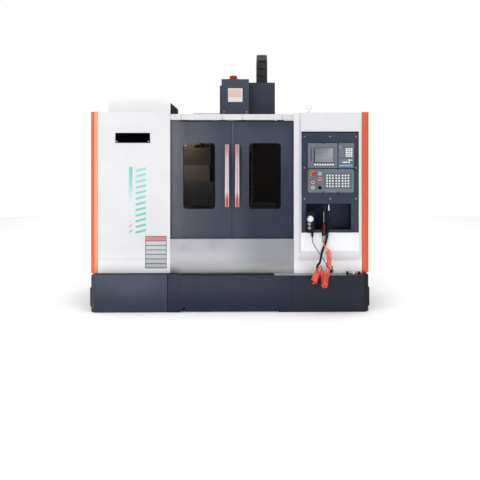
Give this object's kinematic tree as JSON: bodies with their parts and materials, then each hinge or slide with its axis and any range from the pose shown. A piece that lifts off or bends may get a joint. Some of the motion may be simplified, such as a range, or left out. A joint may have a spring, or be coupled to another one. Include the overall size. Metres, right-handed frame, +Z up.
{
  "type": "vertical machining center",
  "caption": "CNC vertical machining center: enclosed work area with sliding window doors, control box with screen and hoses, travelling head with tool arm, cable chain and coolant tank",
  "frame": {"origin": "on the floor under the middle of the machine's outline, cords left out", "axes": "+X to the operator's right, +Y from the operator towards the machine's back, +Z up"},
  "size_m": [2.4, 2.2536, 2.3797],
  "materials": {
    "bed": "satin paint",
    "column": "satin paint",
    "levelling_feet": "ground or brushed steel",
    "guide_rails": "ground or brushed steel",
    "axis_motors": "satin paint",
    "side_skirts": "satin paint",
    "coolant_tank": "satin paint",
    "chip_tray": "ground or brushed steel",
    "front_panel_left": "satin paint",
    "front_panel_right": "satin paint",
    "corner_trims": "satin paint",
    "side_panels": "satin paint",
    "rear_wall": "satin paint",
    "door_header": "satin paint",
    "magazine_cover": "satin paint",
    "magazine_base": "satin paint",
    "control_box": "satin paint",
    "control_plate": "satin paint",
    "display_unit": "fine matte grain",
    "operator_panel": "fine matte grain",
    "electrical_cabinet": "satin paint",
    "drive_rack": "satin paint",
    "pendant_body": "fine matte grain",
    "air_gun": "satin paint",
    "coolant_gun": "fine matte grain",
    "cable_chain": "fine matte grain",
    "pendant_cable": "dull rubber",
    "air_hose": "smooth gloss",
    "coolant_hose": "dull rubber",
    "way_cover_y": "dull rubber",
    "way_cover_z": "dull rubber",
    "saddle": "satin paint",
    "table": "ground or brushed steel",
    "x_screw": "ground or brushed steel",
    "y_screw": "ground or brushed steel",
    "z_screw": "ground or brushed steel",
    "head_casting": "satin paint",
    "spindle_motor": "satin paint",
    "head_cover": "satin paint",
    "head_side_box": "satin paint",
    "spindle": "ground or brushed steel",
    "door_left": "satin paint",
    "window_left": "smoked pane",
    "handle_left": "satin paint",
    "door_right": "satin paint",
    "window_right": "smoked pane",
    "handle_right": "satin paint",
    "magazine_disc": "bare aluminium",
    "tool_arm": "ground or brushed steel",
    "estop_button": "smooth gloss",
    "start_button": "smooth gloss",
    "stop_button": "smooth gloss",
    "cycle_start_button": "smooth gloss",
    "feed_hold_button": "smooth gloss",
    "key_switch": "smooth gloss",
    "pendant_dial": "smooth gloss",
    "pendant_axis_knob": "fine matte grain",
    "pendant_step_knob": "fine matte grain",
    "air_gun_trigger": "ground or brushed steel",
    "cabinet_door": "satin paint"
  },
  "bodies": {
    "frame": {"bed": "bed", "column": "column", "levelling_feet": "levelling_feet", "guide_rails": "guide_rails", "axis_motors": "axis_motors", "side_skirts": "side_skirts", "coolant_tank": "coolant_tank", "chip_tray": "chip_tray", "front_panel_left": "front_panel_left", "front_panel_right": "front_panel_right", "corner_trims": "corner_trims", "side_panels": "side_panels", "rear_wall": "rear_wall", "door_header": "door_header", "magazine_cover": "magazine_cover", "magazine_base": "magazine_base", "control_box": "control_box", "control_plate": "control_plate", "display_unit": "display_unit", "operator_panel": "operator_panel", "electrical_cabinet": "electrical_cabinet", "drive_rack": "drive_rack", "pendant_body": "pendant_body", "air_gun": "air_gun", "coolant_gun": "coolant_gun", "cable_chain": "cable_chain", "pendant_cable": "pendant_cable", "air_hose": "air_hose", "coolant_hose": "coolant_hose", "way_cover_y": "way_cover_y", "way_cover_z": "way_cover_z"},
    "saddle": {"saddle": "saddle"},
    "table": {"table": "table"},
    "x_screw": {"x_screw": "x_screw"},
    "y_screw": {"y_screw": "y_screw"},
    "z_screw": {"z_screw": "z_screw"},
    "head": {"head_casting": "head_casting", "spindle_motor": "spindle_motor", "head_cover": "head_cover", "head_side_box": "head_side_box"},
    "spindle": {"spindle": "spindle"},
    "door_left": {"door_left": "door_left", "window_left": "window_left", "handle_left": "handle_left"},
    "door_right": {"door_right": "door_right", "window_right": "window_right", "handle_right": "handle_right"},
    "magazine_disc": {"magazine_disc": "magazine_disc"},
    "tool_arm": {"tool_arm": "tool_arm"},
    "estop_button": {"estop_button": "estop_button"},
    "start_button": {"start_button": "start_button"},
    "stop_button": {"stop_button": "stop_button"},
    "cycle_start_button": {"cycle_start_button": "cycle_start_button"},
    "feed_hold_button": {"feed_hold_button": "feed_hold_button"},
    "key_switch": {"key_switch": "key_switch"},
    "pendant_dial": {"pendant_dial": "pendant_dial"},
    "pendant_axis_knob": {"pendant_axis_knob": "pendant_axis_knob"},
    "pendant_step_knob": {"pendant_step_knob": "pendant_step_knob"},
    "air_gun_trigger": {"air_gun_trigger": "air_gun_trigger"},
    "cabinet_door": {"cabinet_door": "cabinet_door"}
  },
  "joints": [
    {"name": "saddle_y", "type": "slide", "parent": "frame", "child": "saddle", "axis": [0, 1, 0], "range_m": [-0.19, 0.19], "deforming": ["way_cover_y"]},
    {"name": "table_x", "type": "slide", "parent": "saddle", "child": "table", "axis": [1, 0, 0], "range_m": [-0.3, 0.3]},
    {"name": "head_z", "type": "slide", "parent": "frame", "child": "head", "axis": [0, 0, 1], "range_m": [-0.45, 0], "deforming": ["way_cover_z", "cable_chain"]},
    {"name": "spindle_spin", "type": "hinge", "parent": "head", "child": "spindle", "pos_m": [0.03, -0.17, 1.44], "axis": [0, 0, 1], "continuous": true},
    {"name": "door_left_slide", "type": "slide", "parent": "frame", "child": "door_left", "axis": [1, 0, 0], "range_m": [-0.465, 0]},
    {"name": "door_right_slide", "type": "slide", "parent": "frame", "child": "door_right", "axis": [1, 0, 0], "range_m": [0, 0.455]},
    {"name": "magazine_turn", "type": "hinge", "parent": "frame", "child": "magazine_disc", "pos_m": [-0.799, -0.4, 1.5], "axis": [0, 0, 1], "continuous": true},
    {"name": "tool_arm_swing", "type": "hinge", "parent": "frame", "child": "tool_arm", "pos_m": [-0.2695, -0.285, 1.41], "axis": [0, 0, 1], "range_deg": [0, 180]},
    {"name": "estop_press", "type": "slide", "parent": "frame", "child": "estop_button", "axis": [0, 1, 0], "range_m": [0, 0.005], "stiffness_N_per_m": 800},
    {"name": "start_press", "type": "slide", "parent": "frame", "child": "start_button", "axis": [0, 1, 0], "range_m": [0, 0.003], "stiffness_N_per_m": 500},
    {"name": "stop_press", "type": "slide", "parent": "frame", "child": "stop_button", "axis": [0, 1, 0], "range_m": [0, 0.003], "stiffness_N_per_m": 500},
    {"name": "cycle_start_press", "type": "slide", "parent": "frame", "child": "cycle_start_button", "axis": [0, 1, 0], "range_m": [0, 0.003], "stiffness_N_per_m": 500},
    {"name": "feed_hold_press", "type": "slide", "parent": "frame", "child": "feed_hold_button", "axis": [0, 1, 0], "range_m": [0, 0.003], "stiffness_N_per_m": 500},
    {"name": "key_turn", "type": "hinge", "parent": "frame", "child": "key_switch", "pos_m": [0.745, -1.071, 1.052], "axis": [0, 1, 0], "range_deg": [0, 90]},
    {"name": "pendant_dial_turn", "type": "hinge", "parent": "frame", "child": "pendant_dial", "pos_m": [0.661, -1.108, 0.797], "axis": [0, 1, 0], "continuous": true},
    {"name": "pendant_axis_turn", "type": "hinge", "parent": "frame", "child": "pendant_axis_knob", "pos_m": [0.654, -1.108, 0.754], "axis": [0, 1, 0], "range_deg": [-60, 60]},
    {"name": "pendant_step_turn", "type": "hinge", "parent": "frame", "child": "pendant_step_knob", "pos_m": [0.655, -1.108, 0.722], "axis": [0, 1, 0], "range_deg": [-60, 60]},
    {"name": "air_gun_squeeze", "type": "hinge", "parent": "frame", "child": "air_gun_trigger", "pos_m": [0.777, -1.109, 0.743], "axis": [1, 0, 0], "range_deg": [0, 2], "stiffness_Nm_per_rad": 0.5},
    {"name": "cabinet_door_swing", "type": "hinge", "parent": "frame", "child": "cabinet_door", "pos_m": [-0.428, 1.079, 1.2], "axis": [0, 0, 1], "range_deg": [0, 110]},
    {"name": "x_screw_turn", "type": "hinge", "parent": "saddle", "child": "x_screw", "pos_m": [0.03, -0.17, 0.736], "axis": [1, 0, 0], "continuous": true},
    {"name": "y_screw_turn", "type": "hinge", "parent": "frame", "child": "y_screw", "pos_m": [0.03, 0, 0.535], "axis": [0, 1, 0], "continuous": true},
    {"name": "z_screw_turn", "type": "hinge", "parent": "frame", "child": "z_screw", "pos_m": [0.03, 0.36, 1.4], "axis": [0, 0, 1], "continuous": true}
  ],
  "couplings": [
    {"joint": "x_screw_turn", "follows": "table_x", "rad_per_m": 628.32},
    {"joint": "y_screw_turn", "follows": "saddle_y", "rad_per_m": 628.32},
    {"joint": "z_screw_turn", "follows": "head_z", "rad_per_m": 628.32}
  ]
}
